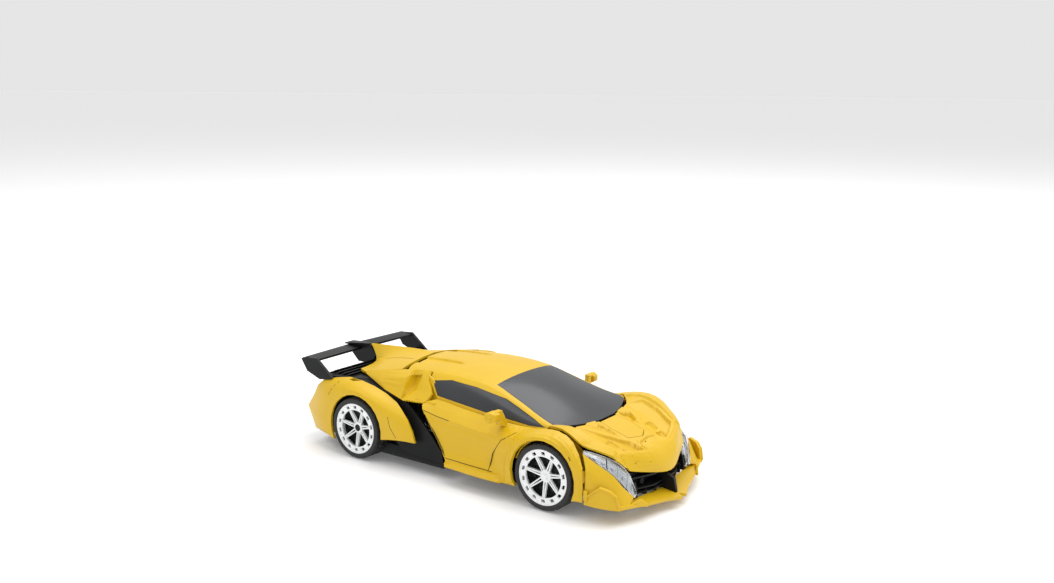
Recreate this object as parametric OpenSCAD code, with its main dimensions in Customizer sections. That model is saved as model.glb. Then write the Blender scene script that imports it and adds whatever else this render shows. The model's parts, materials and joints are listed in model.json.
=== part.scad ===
// Transforming robot car: a toy sports car whose cabin, nose and doors lift into a robot.
// Frame: +X is the nose, +Y the left side, +Z up; the origin is on the floor under the middle.
// Everything is drawn about the middle of the wheelbase, from a datum just under the floor,
// and placed() moves it to the frame.

/* [Overall] */
// Distance from the middle of the wheelbase to the tip of the splitter
front_reach = 124.9; // [124:0.1:126]
// Distance from the middle of the wheelbase to the tail fin
rear_reach = 123.1; // [122:0.1:124]
// Thickness of the painted body panels
skin = 1.5; // [1.2:0.1:1.8]
// Facets on round parts
round_fn = 48; // [32:8:96]

/* [Wheels] */
// Distance of each axle from the middle of the car
axle_x = 68; // [67:0.5:69]
// Height of the axles above the datum
axle_z = 21; // [20.8:0.1:21.2]
// Radius of the tyres
wheel_r = 18.4; // [18:0.1:18.6]
// Outer radius of the rim under the tyre
rim_r = 16; // [15.6:0.1:16.2]
// Radius of the wheel arches
arch_r = 20.6; // [20.2:0.1:21]
// Distance of the outer wheel face from the middle plane
wheel_face_y = 52; // [51.5:0.1:52.2]

/* [Folding joints] */
// Knee axis: the legs turn on the chassis, X
knee_x = 22; // [22:1:22]
// Knee axis, Z
knee_z = 18; // [18:1:18]
// Leg length from the knee axis to the hip axis
leg_length = 71; // [71:1:71]
// Neck axis: the nose turns on the torso, X
neck_x = 40; // [40:1:40]
// Neck axis, Z
neck_z = 30; // [30:1:30]
// Arm axis at the nose, X
arm_x = 89; // [89:1:89]
// Arm axis distance from the middle plane
arm_y = 29; // [29:0.5:29]
// Arm length between its two vertical axes
arm_length = 50; // [50:1:50]
// Head axis, X
head_x = 76; // [76:1:76]
// Head axis, Z
head_z = 38; // [38:0.5:38]
// Radius of the hinge pins
pin_r = 2; // [1.8:0.1:2.2]
// Running clearance around a pin
pin_gap = 0.06; // [0.04:0.01:0.1]

/* [Hidden] */
floor_z = axle_z - wheel_r;
middle_x = (front_reach - rear_reach) / 2;
hip_x = knee_x - leg_length;
hip_z = knee_z;
bore_r = pin_r + pin_gap;
axle_r = 1.5;
screw_r = 1.2;
axle_bore_r = axle_r + pin_gap;
hand_x = arm_x - arm_length;
caster_x = 80;
caster_r = 3.1;
caster_z = floor_z + caster_r;
bar_low = [14.2, 17.8];
bar_high = [26.2, 29.8];
$fn = round_fn;
YELLOW = "gold";
BLACK = "#202124";
SILVER = "#c9ccd0";
GOLD = "#b59a4c";
SMOKE = "#35373a";

// ---- Curves and thin sheets -------------------------------------------------------------

function unit(v) = v / norm(v);
function swap(g) = [for (j = [0 : len(g[0]) - 1]) [for (i = [0 : len(g) - 1]) g[i][j]]];
// Point between p1 and p2 on the Catmull-Rom curve through p0, p1, p2 and p3
function curve_point(p0, p1, p2, p3, t) =
    0.5 * (2 * p1 + (p2 - p0) * t + (2 * p0 - 5 * p1 + 4 * p2 - p3) * t * t
    + (3 * p1 - p0 - 3 * p2 + p3) * t * t * t);
function curve(row, k) = [
    for (i = [0 : len(row) - 2]) for (s = [0 : k - 1])
        curve_point(row[max(i - 1, 0)], row[i], row[i + 1], row[min(i + 2, len(row) - 1)], s / k),
    row[len(row) - 1]];
function rows(g, k) = [for (r = g) curve(r, k)];
function finer(g, k, m) = swap(rows(swap(rows(g, k)), m));
// Quadratic curve from a to c that leans towards b, as n + 1 points
function bend(a, b, c, n) = [for (s = [0 : n]) let (t = s / n)
    (1 - t) * (1 - t) * a + 2 * t * (1 - t) * b + t * t * c];
// A half row from the middle plane outwards, completed with its mirror image
function both_sides(row) = [
    for (k = [len(row) - 1 : -1 : 1]) [row[k].x, -row[k].y, row[k].z], each row];
function normal_at(g, i, j) =
    let (a = g[min(i + 1, len(g) - 1)][j] - g[max(i - 1, 0)][j],
         b = g[i][min(j + 1, len(g[0]) - 1)] - g[i][max(j - 1, 0)])
    unit(cross(a, b));
// True when the grid's normals point away from the car's long axis
function faces_out(g) =
    let (i = floor(len(g) / 2), j = floor(len(g[0]) / 3), p = g[i][j])
    normal_at(g, i, j) * (p - [p.x, 0, 20]) > 0;
// A closed shell of thickness t whose outer face runs through the grid of points
module sheet(grid, t = skin) {
    g = faces_out(grid) ? grid : swap(grid);
    m = len(g);
    n = len(g[0]);
    outer = [for (i = [0 : m - 1]) for (j = [0 : n - 1]) g[i][j]];
    inner = [for (i = [0 : m - 1]) for (j = [0 : n - 1]) g[i][j] - t * normal_at(g, i, j)];
    q = m * n;
    edge = [
        for (j = [0 : n - 2]) j, for (i = [0 : m - 2]) i * n + n - 1,
        for (j = [n - 1 : -1 : 1]) (m - 1) * n + j, for (i = [m - 1 : -1 : 1]) i * n];
    faces = [
        for (i = [0 : m - 2]) for (j = [0 : n - 2]) let (a = i * n + j)
            each [[a, a + 1, a + n + 1], [a, a + n + 1, a + n],
                [q + a, q + a + n + 1, q + a + 1], [q + a, q + a + n, q + a + n + 1]],
        for (k = [0 : len(edge) - 1]) let (a = edge[k], b = edge[(k + 1) % len(edge)])
            each [[a, q + b, b], [a, q + a, q + b]]];
    polyhedron([each outer, each inner], faces);
}
// Moves what is drawn about the wheelbase datum to the frame's origin
module placed() translate([-middle_x, 0, -floor_z]) children();
// Joins shells into one mesh
module joined() resize([0, 0, 0]) children();
module both() {
    children();
    mirror([0, 1, 0]) children();
}
// Prism along Y from an outline in X and Z
module side_prism(outline, y0, y1)
    translate([0, y1, 0]) rotate([90, 0, 0]) linear_extrude(y1 - y0) polygon(outline);
// Prism along Z from an outline in X and Y
module top_prism(outline, z0, z1)
    translate([0, 0, z0]) linear_extrude(z1 - z0) polygon(outline);
module block(x, y, z)
    translate([x[0], y[0], z[0]]) cube([x[1] - x[0], y[1] - y[0], z[1] - z[0]]);
module pin_y(x, z, y, r)
    translate([x, y[0], z]) rotate([-90, 0, 0]) cylinder(r = r, h = y[1] - y[0]);
module pin_z(x, y, z, r)
    translate([x, y, z[0]]) cylinder(r = r, h = z[1] - z[0]);
module pin_x(y, z, x, r)
    translate([x[0], y, z]) rotate([0, 90, 0]) cylinder(r = r, h = x[1] - x[0]);

// ---- Body surfaces ------------------------------------------------------------------------

// Hood, from the windshield base to the front edge, as half rows from the middle outwards
HOOD = finer([for (r = [
    [[76.2, 0, 42.1], [75.2, 12, 42.4], [72, 27, 43.2], [67.2, 34, 44.5], [62.6, 38, 43.9]],
    [[85, 0, 39.9], [84.4, 12.2, 40], [80.5, 27, 41.6], [76, 36.6, 46], [73.5, 41.9, 45.4]],
    [[95, 0, 37.2], [93.4, 13, 36.6], [89.2, 27, 38.8], [85, 38, 44.4], [83.6, 45.2, 43.2]],
    [[103, 0, 35], [102, 13, 33.6], [97.6, 25.6, 36], [92.6, 36, 40.8], [88.4, 44.4, 40]],
    [[108, 0, 32.8], [108, 13, 33.4], [103.6, 24.8, 35.2], [98, 34.4, 38], [94.2, 41.4, 38]],
    [[112.2, 0, 29], [111.6, 12, 29.8], [108, 22.4, 31.8], [103.4, 30.6, 34.4], [100, 37.4, 35.4]],
    [[115, 0, 24.4], [114, 10.4, 25.2], [110.8, 19.6, 27], [107.6, 27.2, 29], [104.6, 33.4, 31.8]],
    [[116.4, 0, 19.8], [115.2, 8, 20.6], [112.4, 16.6, 22.4], [110.4, 23, 24], [108.2, 29.2, 25.8]]])
    both_sides(r)], 2, 2);
// Windshield, roof and side glass in one surface
CANOPY = finer([for (r = [
    [[75, 0, 42.6], [74, 15, 42.9], [67.2, 32.6, 44.2], [62.6, 36.9, 44.4], [61.6, 37.8, 43.2],
        [61, 38.4, 42.2]],
    [[60.4, 0, 48], [59.4, 15, 47.8], [55, 31, 47.1], [52, 35.2, 46.2], [51.5, 37.5, 43.8],
        [51, 38.5, 41.4]],
    [[46, 0, 52.6], [45, 14.5, 52.2], [41.5, 29.5, 51], [38, 33.6, 49.8], [37, 37, 46], [36, 38.5, 41.8]],
    [[32, 0, 56.5], [31.5, 14, 56.1], [29.5, 28.2, 54.7], [25, 32.2, 53.4], [24, 36.4, 48],
        [23, 38.5, 42.4]],
    [[19, 0, 59.6], [19, 13.5, 59.2], [18, 27.2, 57.9], [10, 31.6, 56], [10, 36, 49.8], [10, 38.5, 43.2]],
    [[4, 0, 61.4], [4, 13.5, 61], [3, 27, 59.3], [-2, 31.4, 57.2], [-2, 35.8, 50.8], [-3, 38.4, 44]],
    [[-12, 0, 62], [-12, 13.5, 61.6], [-12, 26.8, 59.6], [-13, 31.2, 57.3], [-13, 35.6, 51.5],
        [-14, 38.3, 44.8]],
    [[-30, 0, 61.5], [-30, 13.5, 61], [-30, 26.2, 58.8], [-28, 30.8, 56.8], [-26, 34.5, 52.5],
        [-24, 37.8, 46]],
    [[-47, 0, 60.2], [-47, 13, 59.6], [-46.5, 25, 57.6], [-45, 29.3, 55.5], [-43, 32, 52.5],
        [-41, 33.5, 48]]])
    both_sides(r)], 2, 2);
// Rear deck with its spine
DECK = finer([for (r = [
    [[-50, 0, 60.2], [-50, 3, 60], [-50, 12, 59.3], [-50, 21, 58], [-51, 28, 55.6]],
    [[-60, 0, 60.8], [-60, 2.4, 60], [-60, 11, 58.2], [-60, 21, 56.2], [-60, 28.8, 53.9]],
    [[-72, 0, 60.4], [-72, 2.1, 59], [-72, 10, 56.4], [-71, 20, 54.2], [-70, 29.2, 51.9]],
    [[-86, 0, 59.6], [-85, 1.9, 57.6], [-83, 8, 53.6], [-80, 19, 51.8], [-78, 29.8, 49.6]],
    [[-102.6, 0, 58.5], [-99, 1.7, 55.6], [-94, 4.5, 50.8], [-91.6, 10, 49], [-86.4, 26.4, 49.8]]])
    both_sides(r)], 2, 2);
// Flank from the windshield to the skirt behind the front wheel: rows from front to rear edge
DOOR_COLUMNS = [
    [[-21, 43.8, 43.2], [-19.5, 46, 40.6], [-12.5, 47, 31.5], [-4.5, 48, 20.5], [0, 49.6, 15.6],
        [2, 51, 12.8]],
    [[-14, 40, 46.2], [-12, 46, 38.6], [-5, 47.2, 30], [2, 48, 21], [7, 49.4, 15.8], [9, 51.2, 12.8]],
    [[2, 40, 44.6], [4, 46.3, 37.2], [6, 47.2, 29], [9, 48.1, 21], [15, 49.4, 15.8], [18, 51.6, 12.7]],
    [[20, 40, 43.1], [21, 46.8, 35.8], [22, 47.4, 28], [24, 48.2, 20.6], [27, 49.6, 15.8],
        [29, 51.8, 12.6]],
    [[34, 40, 42.3], [34.5, 47.4, 35.6], [35, 48.2, 28], [36, 49, 20.6], [38, 50.2, 15.8],
        [40, 51.9, 12.5]],
    [[45.8, 40, 42], [46.2, 47.8, 37.4], [46.7, 49.8, 30], [47.4, 51.4, 21.5], [48.6, 51.8, 15.8],
        [50.2, 51.9, 12.4]]];
// Outer edge of the front fender, one point for each step round the arch
FRONT_EDGE = [[45.2, 40, 42], [48.4, 40, 42.1], [51.6, 40, 42.4], [55, 40, 42.8], [58.6, 40, 43.4],
    [62.8, 40.4, 44.1], [67.5, 41.6, 45], [73, 43.2, 45.6], [78.5, 45.2, 44.8], [84, 47, 42.3],
    [88.8, 49, 37.3], [91.8, 49.8, 31], [92.7, 50.2, 22], [92.6, 50.2, 12.6]];
// Outer edge of the rear fender, in the same way
REAR_EDGE = [[-22.4, 49.6, 20.6], [-25, 49.1, 27], [-29.5, 48, 33.5], [-35.6, 45.8, 37.6],
    [-41.4, 43.4, 40.2], [-51, 41.6, 43.4], [-61, 41.2, 46.2], [-70.5, 41.4, 48], [-80, 42, 48.9],
    [-91, 43, 47], [-101, 43.7, 44.2], [-106.6, 43.7, 40], [-111, 43, 33], [-118.6, 41.2, 24.2],
    [-110.4, 43, 11.4], [-93, 47.4, 10.8]];
function arch_point(x, a, y) = [x + arch_r * cos(a), y, axle_z + arch_r * sin(a)];
// Rows across a fender: from its outer edge over the crown to the lip of the arch
function fender(edge, x, a0, a1, lip_y, crown) = [
    for (k = [0 : len(edge) - 1])
        let (e = edge[k], p = arch_point(x, a0 + (a1 - a0) * k / (len(edge) - 1), lip_y),
             m = 0.45 * e + 0.55 * p)
        bend(e, [m.x, max(e.y, p.y) + crown[0], max(e.z, m.z) * 0.5 + m.z * 0.5 + crown[1]], p, 4)];
FRONT_FENDER = fender(FRONT_EDGE, axle_x, 180, -24, 51.9, [0.3, 1.4]);
REAR_FENDER = fender(REAR_EDGE, -axle_x, -8, 209, 51.2, [0.2, 1]);
// Shoulder behind the door, with a step at the rear of its side intake
SHOULDER = finer([
    [[-25.8, 30.6, 58.4], [-24.4, 34.8, 54.7], [-18, 39.8, 48.6], [-20.8, 43.4, 43.8]],
    [[-30, 30.4, 58.5], [-29, 34, 55.4], [-26.4, 38.8, 48.6], [-27, 43.3, 43.2]],
    [[-38, 30.4, 57.9], [-37.4, 32.2, 54.4], [-36.8, 35.2, 49], [-34.6, 42.6, 42.8]],
    [[-39.6, 30.4, 57.8], [-39.8, 37.4, 54.1], [-38.4, 40.5, 47], [-36.8, 43, 42]],
    [[-58, 31, 54.8], [-59, 34.3, 52.1], [-58, 37.9, 48.5], [-54, 40.2, 45.2]],
    [[-76.5, 31.8, 51.4], [-76.5, 32.2, 50.9], [-76, 32.7, 50.4], [-75, 33.4, 49.8]]], 2, 1);
// Cheek of the front bumper, rows from the headlight down to its lower edge
CHEEK = finer([
    [[88.8, 45.7, 37.4], [93.8, 45, 34.6], [99, 43.2, 31.2], [104.8, 40.4, 26.8], [108.6, 36.6, 20.2],
        [111.8, 31, 14.4]],
    [[92.9, 49.2, 31], [96.6, 48.4, 28], [101.4, 46.4, 24.4], [106.4, 43.4, 20.6], [109.8, 39.4, 17],
        [112.6, 34, 13.6]],
    [[93.2, 50, 22], [97, 49.6, 20], [102, 48.2, 18], [107, 45.8, 16], [110.4, 42, 14.4],
        [113, 36.4, 12.8]],
    [[93.1, 50.2, 12.4], [97.4, 50, 12.3], [102.6, 48.8, 12.2], [107.8, 46.6, 12], [111, 44, 11.9],
        [113.6, 38.8, 11.7]]], 2, 2);
// Headlight lens between the hood's edge and the cheek
LENS = finer([
    [[89, 44.9, 38.7], [94.2, 41.9, 37.3], [99.8, 38, 34.8], [104.4, 33.8, 31.2], [108.3, 29.8, 25],
        [111.9, 28.4, 14.9]],
    [[89.2, 45.4, 38], [94.8, 43.6, 35.8], [100.6, 40.6, 32.2], [106, 36.8, 27.8], [109.2, 32.6, 22.4],
        [112.2, 29.6, 14.4]],
    [[89.4, 45.6, 37.6], [94.2, 44.7, 35], [99.4, 42.9, 31.6], [105, 40, 27.2], [108.9, 36.2, 20.4],
        [112.2, 30.6, 14.2]]], 2, 2);
// Underside of the splitter, rows from its outer edge inwards
SPLITTER = swap([for (r = [
    [[119.9, 0, 7.2], [111, 0, 8.8]], [[front_reach - 0.24, 2.4, 7], [111, 3, 8.9]],
    [[120.8, 12, 7.9], [110.6, 12, 9.2]], [[117.6, 26, 9.2], [110.4, 23, 10]],
    [[114.6, 36, 10.4], [108.6, 31, 10.8]], [[112, 45, 11.2], [104, 38, 11.4]],
    [[104, 48.6, 11.4], [99, 42, 11.5]], [[93.1, 50.2, 11.6], [93.1, 44, 11.7]]]) r]);
CANARD = [
    [[93.4, 50.6, 15.2], [98, 50.4, 19.4], [102.2, 50, 23], [107.6, 48.6, 21.6], [110.8, 47, 18.6]],
    [[93.2, 50.6, 11.8], [97.4, 50.5, 11.7], [101.8, 50, 11.6], [107.4, 48.4, 11.4], [112.4, 45.8, 11.2]]];
FLAP = [[76.4, -8.2], [76.4, 8.2], [85, 9.2], [94.2, 8.4], [98.2, 0], [94.2, -8.4], [85, -9.2]];
// ---- Chassis --------------------------------------------------------------------------------

module chassis_pan() color(BLACK) {
    difference() {
        union() {
            top_prism([[-106, -30], [-106, 30], [-90, 34], [-50, 34], [-46, 30], [34, 30],
                [86, 22], [90, 10], [90, -10], [86, -22], [34, -30], [-46, -30], [-50, -34],
                [-90, -34]], 4, 7);
            both() block([-106, 34], [28.5, 30], [6.9, 10]);
            both() block([14, 30], [24, 29.4], [6.9, 18]);
            both() pin_y(knee_x, knee_z, [24, 29.4], 6.4);
            both() block([-48, -5], [29, 38], [6, 9.4]);
            block([-106, -103], [-30, 30], [6.9, 26]);
            pin_z(caster_x, 0, [6.9, 12.9], 9.6);
        }
        both() pin_y(knee_x, knee_z, [20, 31], pin_r);
        pin_z(caster_x, 0, [3, 10.9], 7.6);
        pin_z(caster_x, 0, [10.5, 14], bore_r);
        block([-38.6, -12.4], [-14.1, 14.1], [3, 8]);
        for (x = [-100, 48]) for (y = [-20, 20]) pin_z(x, y, [3, 6.9], screw_r);
    }
    both() for (x = [-46 : 8 : -14]) block([x, x + 3], [17, 27], [3.4, 4.01]);
}
module foot_box() color(BLACK) {
    difference() {
        hull() {
            block([34, 60], [-23, 23], [7, 16]);
            block([36, 57], [-21, 21], [16, 19.5]);
        }
        both() for (z = [9.5, 15]) pin_x(14.5, z, [52, 61], 1.6);
        both() block([59.2, 61], [3, 7.5], [8.5, 15]);
    }
    for (z = [9, 12, 15]) block([59.8, 61], [-2.4, 2.4], [z, z + 1.5]);
}
module foot_rods() color(SILVER)
    both() pin_z(66, 5.2, [7.4, 17.6], 1.5);
module foot_knobs() color(GOLD)
    both() for (z = [9.5, 15]) {
        pin_x(14.5, z, [54, 62], 1.6);
        hull() {
            translate([62, 9.5, z - 2.3]) cube([2.4, 1.2, 4.6]);
            translate([62, 13.5, z - 1.2]) cube([2.4, 2, 2.4]);
        }
        hull() {
            translate([62, 18.3, z - 2.3]) cube([2.4, 1.2, 4.6]);
            translate([62, 13.5, z - 1.2]) cube([2.4, 2, 2.4]);
        }
    }
module shoes() color(BLACK) both() {
    hull() {
        block([66, 80], [9, 25], [7, 10.5]);
        block([66, 72], [10, 24], [10, 12.8]);
    }
    hull() {
        block([79, 86], [10, 22], [7, 9.6]);
        block([79, 80], [9, 25], [7, 10.5]);
    }
    block([61, 66], [10, 24], [7, 8]);
}
module drive_motors() color(SILVER) both() {
    pin_x(14, 20, [-100, -74], 9);
    pin_x(14, 20, [-74, -72.6], 3);
    pin_x(14, 20, [-72.6, -70], 1);
}
module gearboxes() color(BLACK) both() difference() {
    union() {
        block([-84, -59], [26, 34.2], [7, 30]);
        block([-84, -62], [24, 26], [7, 34]);
        pin_y(-axle_x, axle_z, [34.2, 34.8], 5);
    }
    pin_y(-axle_x, axle_z, [23, 36], axle_bore_r);
    block([-81, -65], [25.9, 30], [10, 15]);
}
module battery_box() color(BLACK) difference() {
    block([-40, -11], [-15.5, 15.5], [3.2, 11]);
    block([-38.6, -12.4], [-14.1, 14.1], [2, 9.8]);
}
module battery_door() color(BLACK) block([-38.4, -12.6], [-13.9, 13.9], [3.2, 4.3]);
module battery_pack() color("steelblue") hull() {
    block([-37.6, -13.4], [-12, 12], [4.5, 9.6]);
    block([-37.6, -13.4], [-13, 13], [5.4, 8.7]);
}
module pan_screws() color(SILVER) for (x = [-100, 48]) for (y = [-20, 20]) difference() {
    union() {
        pin_z(x, y, [3.4, 4], 2.4);
        pin_z(x, y, [4, 6.9], screw_r);
    }
    translate([x - 2, y - 0.3, 3]) cube([4, 0.6, 0.7]);
}
module knee_pins() color(SILVER) both() {
    pin_y(knee_x, knee_z, [12.4, 29.4], pin_r);
    pin_y(knee_x, knee_z, [29.4, 30.4], pin_r + 1.4);
}
module engine_deck() color(BLACK) {
    top_prism([[-103, -42], [-103, 42], [-94, 42], [-84, 40.4], [-74, 34.4], [-57, 31], [-55.4, 28],
        [-55.4, -28], [-57, -31], [-74, -34.4], [-84, -40.4], [-94, -42]], 44.4, 47.2);
    for (x = [-101.5 : 4.4 : -88]) hull() {
        block([x, x + 1], [-38, 38], [47, 47.4]);
        block([x + 1.8, x + 2.8], [-36, 36], [48.2, 48.6]);
    }
    both() block([-84, -62], [24.2, 33.8], [30, 44.6]);
    block([-86, -56], [-3, 3], [47, 54]);
    both() block([-76, -58], [18, 21], [47, 52]);
}
module rear_deck() color(YELLOW) joined() sheet(DECK);
module rear_fenders() color(YELLOW) both() joined() difference() {
    sheet(REAR_FENDER);
    hull() {
        block([-77.6, -71.6], [41.9, 42.4], [45, 51]);
        block([-78.6, -75], [44.2, 44.8], [44, 51]);
    }
}
module sill_panel() sheet(finer([
    [[-78, 31.4, 47.6], [-60, 34.8, 46.4], [-46, 38.6, 44], [-36, 41.4, 40.6], [-26, 43, 34.6],
        [-16.5, 44.2, 27.4], [-9, 45.2, 20.6], [-5.6, 46, 18]],
    [[-78, 35.5, 47.2], [-64, 37.4, 45.4], [-50, 39.2, 42.6], [-40, 40.8, 37.6], [-32, 43.4, 30.6],
        [-24, 45, 23.4], [-16, 46, 16.6], [-4.4, 46.6, 14.6]],
    [[-78, 38.8, 46.4], [-64, 39, 44.4], [-54, 39.6, 41.2], [-46, 41, 35], [-42, 44.2, 26.2],
        [-40, 46.4, 17.4], [-28, 47.2, 12.6], [-3.4, 47, 12]]], 2, 2), 1.4);
module sills() color(BLACK) both() joined() {
    sill_panel();
    hull() {
        block([-50.4, -3], [37, 47.4], [9, 10.4]);
        block([-47.6, -6], [38, 45.6], [13, 15]);
    }
}
TAIL = [[-102.6, 43.6], [-107.6, 34], [-116, 25], [-113.4, 17], [-107, 11.6], [-103, 11.6], [-100, 43.6]];
module rear_bumper() color(BLACK) {
    difference() {
        side_prism(TAIL, -40.4, 40.4);
        both() block([-118, -107], [12, 34], [27.2, 33.4]);
        both() pin_x(8, 18.5, [-118, -108], 4.6);
        block([-118, -110.6], [-24, 24], [35.5, 42]);
    }
    both() pin_x(8, 18.5, [-115, -107.9], 3.4);
    for (y = [-30 : 7.5 : 30]) hull() {
        block([-113, -100], [y - 0.6, y + 0.6], [7.4, 8]);
        block([-108, -100], [y - 0.6, y + 0.6], [11.6, 12.4]);
    }
    block([-112, -99], [-33, 33], [6.4, 7.6]);
}
module tail_lights() color("firebrick") both()
    side_prism([[-107.1, 33.2], [-109, 33.2], [-114.6, 27.4], [-107.1, 27.4]], 12.2, 33.8);
PLATE = [[-119.7, 54.8], [-117.6, 55.9], [-106.6, 56.8], [-93.1, 46.3], [-95, 45.2], [-104, 43.9],
    [-114.8, 47.6]];
FIN = [[-rear_reach, 56.1], [-122, 57], [-103.4, 58.4], [-97.6, 51.6], [-100.5, 45.6], [-112.9, 45.2],
    [-117.9, 49.9]];
module rear_wing() color(BLACK) {
    both() side_prism(PLATE, 43, 44.8);
    both() hull() {
        translate([-121, 0, 54.2]) cube([2, 1, 1.4]);
        translate([-112, 0, 53.4]) cube([1, 1, 1.4]);
        translate([-116.4, 43, 55.2]) cube([2, 1, 1.2]);
        translate([-107, 43, 54.8]) cube([1, 1, 1.2]);
    }
    side_prism(FIN, -1.5, 1.5);
    hull() {
        translate([-122.6, -4, 56]) cube([1, 8, 0.8]);
        translate([-108, -2, 57]) cube([4, 4, 1.2]);
    }
    both() block([-103, -95.6], [41, 43.4], [43.8, 46.4]);
}
module switch_knob() color(SILVER) block([-6, -1], [-4, 4], [2.9, 3.9]);

// ---- Legs -----------------------------------------------------------------------------------

module leg_side() side_prism([[hip_x, 11.4], [knee_x, 12.2], [knee_x + 2, 21.9],
    [hip_x, 21.9]], 12.6, 22.6);
module legs_frame() color(BLACK) difference() {
    union() {
        both() leg_side();
        both() pin_y(knee_x, knee_z, [12.6, 22.6], 6.2);
        both() pin_y(hip_x, hip_z, [12.6, 22.6], 7.2);
        block([-30, -22], [-12.7, 12.7], [12, 20]);
        block([2, 10], [-12.7, 12.7], [12, 20]);
        block([-23, 3], [-12.7, 12.7], [13.6, 16]);
    }
    both() pin_y(knee_x, knee_z, [10, 24], bore_r);
    both() pin_y(hip_x, hip_z, [10, 24], bore_r);
    both() for (x = [-36 : 14 : 6]) block([x, x + 8], [11, 14], [13, 19]);
}
module thigh_plates() color(SILVER) both() difference() {
    hull() {
        top_prism([[-38, 14], [-32, 12.6], [6, 13.6], [12, 18], [12, 26], [6, 30.6], [-30, 31],
            [-38, 25]], 21.9, 23.2);
        top_prism([[-36, 16], [-30, 14.6], [4, 15.6], [10, 19], [10, 25], [4, 28.6], [-28, 29],
            [-36, 24]], 23.2, 24.1);
    }
    top_prism([[-32, 18], [0, 18], [4, 21], [0, 25.4], [-32, 26]], 23.5, 26);
}
module thigh_inlays() color(GOLD) both() for (k = [0 : 5])
    top_prism([[-31 + 5.4 * k, 18.4], [-27.4 + 5.4 * k, 18.4], [-27.4 + 5.4 * k, 25],
        [-31 + 5.4 * k, 25]], 23.5, 24.4);

// ---- Torso ----------------------------------------------------------------------------------

module torso_frame() color(BLACK) difference() {
    union() {
        both() pin_y(hip_x, hip_z, [24.2, 31.6], 7.2);
        both() block([hip_x - 4, hip_x + 5], [24.2, 31.6], [hip_z, 29.9]);
        top_prism([[-49, -32], [-49, 32], [-30, 32], [-26, 35], [26, 35], [34, 26], [34, -26],
            [26, -35], [-26, -35], [-30, -32]], 27, 30);
        both() block([30, 44], [10.6, 15.6], [25, 35]);
        both() block([30, 44], [22.4, 24.6], [25, 35]);
        both() for (x = [-40, 24]) block([x, x + 3], [32.6, 35], [29.9, 43]);
        both() block([-44, -41], [26, 28], [29.9, 56]);
        both() block([24, 27], [28, 35], [29.9, 43]);
    }
    both() pin_y(neck_x, neck_z, [9, 27], pin_r);
    both() pin_y(hip_x, hip_z, [23, 33], pin_r);
    both() block([33, 46], [15.4, 22.5], [24, 27.2]);
    block([-12, 12], [-10, 10], [29, 31]);
}
module torso_pins() color(SILVER) both() {
    pin_y(hip_x, hip_z, [12.8, 31.6], pin_r);
    pin_y(neck_x, neck_z, [10.6, 24.6], pin_r);
}
SIDE_GLASS = [[60, 43.2], [30, 52.6], [9, 55.6], [-9, 56.6], [-22, 54.6], [-15.5, 47.4], [20, 44.2],
    [50, 42.4]];
GLASS_TOP = [[80, 36.6], [66.6, 33], [63.4, 35.4], [41.5, 30.4], [19.4, 26.9], [19.4, -26.9],
    [41.5, -30.4], [63.4, -35.4], [66.6, -33], [80, -36.6]];
module windshield_cut(grow) translate([0, 0, 40]) linear_extrude(25) offset(delta = grow)
    polygon([for (p = GLASS_TOP) if (p.x >= 19) p]);
module side_cut(grow) both() translate([0, 42, 0]) rotate([90, 0, 0]) linear_extrude(14)
    offset(delta = grow) polygon(SIDE_GLASS);
module rear_trim() both() side_prism([[-26.4, 62], [-24.4, 55.2], [-15.6, 46.2], [-12, 40], [-60, 40],
    [-60, 62]], 28.9, 45);
module cabin_shell() color(YELLOW) joined() difference() {
    sheet(CANOPY);
    windshield_cut(0);
    side_cut(0);
    rear_trim();
}
module windshield() color(SMOKE) joined() intersection() {
    sheet(CANOPY, skin - 0.2);
    windshield_cut(-0.12);
}
module side_windows() color(SMOKE) joined() difference() {
    intersection() {
        sheet(CANOPY, skin - 0.2);
        side_cut(-0.12);
    }
    rear_trim();
}
module spine_plate() color(SILVER) {
    top_prism([[-27, -7], [-27, 7], [-23, 11], [-17, 11], [-12, 8.6], [-7, 8.6], [-2, 11.4], [5, 11.4],
        [8, 8], [8, -8], [5, -11.4], [-2, -11.4], [-7, -8.6], [-12, -8.6], [-17, -11],
            [-23, -11]], 25.2, 27);
    hull() {
        top_prism([[-24, -5], [-24, 5], [5, 6], [5, -6]], 24.4, 25.2);
        top_prism([[-22, -3.6], [-22, 3.6], [3, 4.4], [3, -4.4]], 23.6, 24.4);
    }
    hull() {
        top_prism([[-45, -4], [-45, 4], [-40, 8], [-31, 8], [-27, 5], [-27, -5], [-31, -8],
            [-40, -8]], 24.8, 27);
        top_prism([[-42, -3], [-42, 3], [-38, 5], [-32, 5], [-30, 3], [-30, -3], [-32, -5],
            [-38, -5]], 23.8, 24.8);
    }
    both() top_prism([[-43, 7], [-31, 7], [-24, 13], [-19, 22], [-19, 27], [-26, 31.8], [-34, 31.4],
        [-41, 20]], 25.4, 27);
}
module rib_plates() color(GOLD) both() for (k = [0 : 2])
    hull() {
        top_prism([[-18.6 + 9 * k, 12], [-10.8 + 9 * k, 12], [-4.2 + 9 * k, 28 + k],
            [-12.2 + 9 * k, 28.6 + k]], 25.6, 27);
        top_prism([[-17 + 9 * k, 13.4], [-12.2 + 9 * k, 13.4], [-6 + 9 * k, 26 + k],
            [-11 + 9 * k, 26.6 + k]], 24.9, 25.6);
    }
module belt_pads() color(GOLD) both() hull() {
    top_prism([[-37, 12], [-31, 11], [-24, 16], [-21.4, 24], [-26, 28.6], [-33, 28],
        [-38, 19]], 25.1, 25.4);
    top_prism([[-35, 14], [-31, 13.4], [-26, 17], [-24, 23], [-27, 26.4], [-32, 26],
        [-35.6, 19]], 24.7, 25.1);
}
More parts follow.
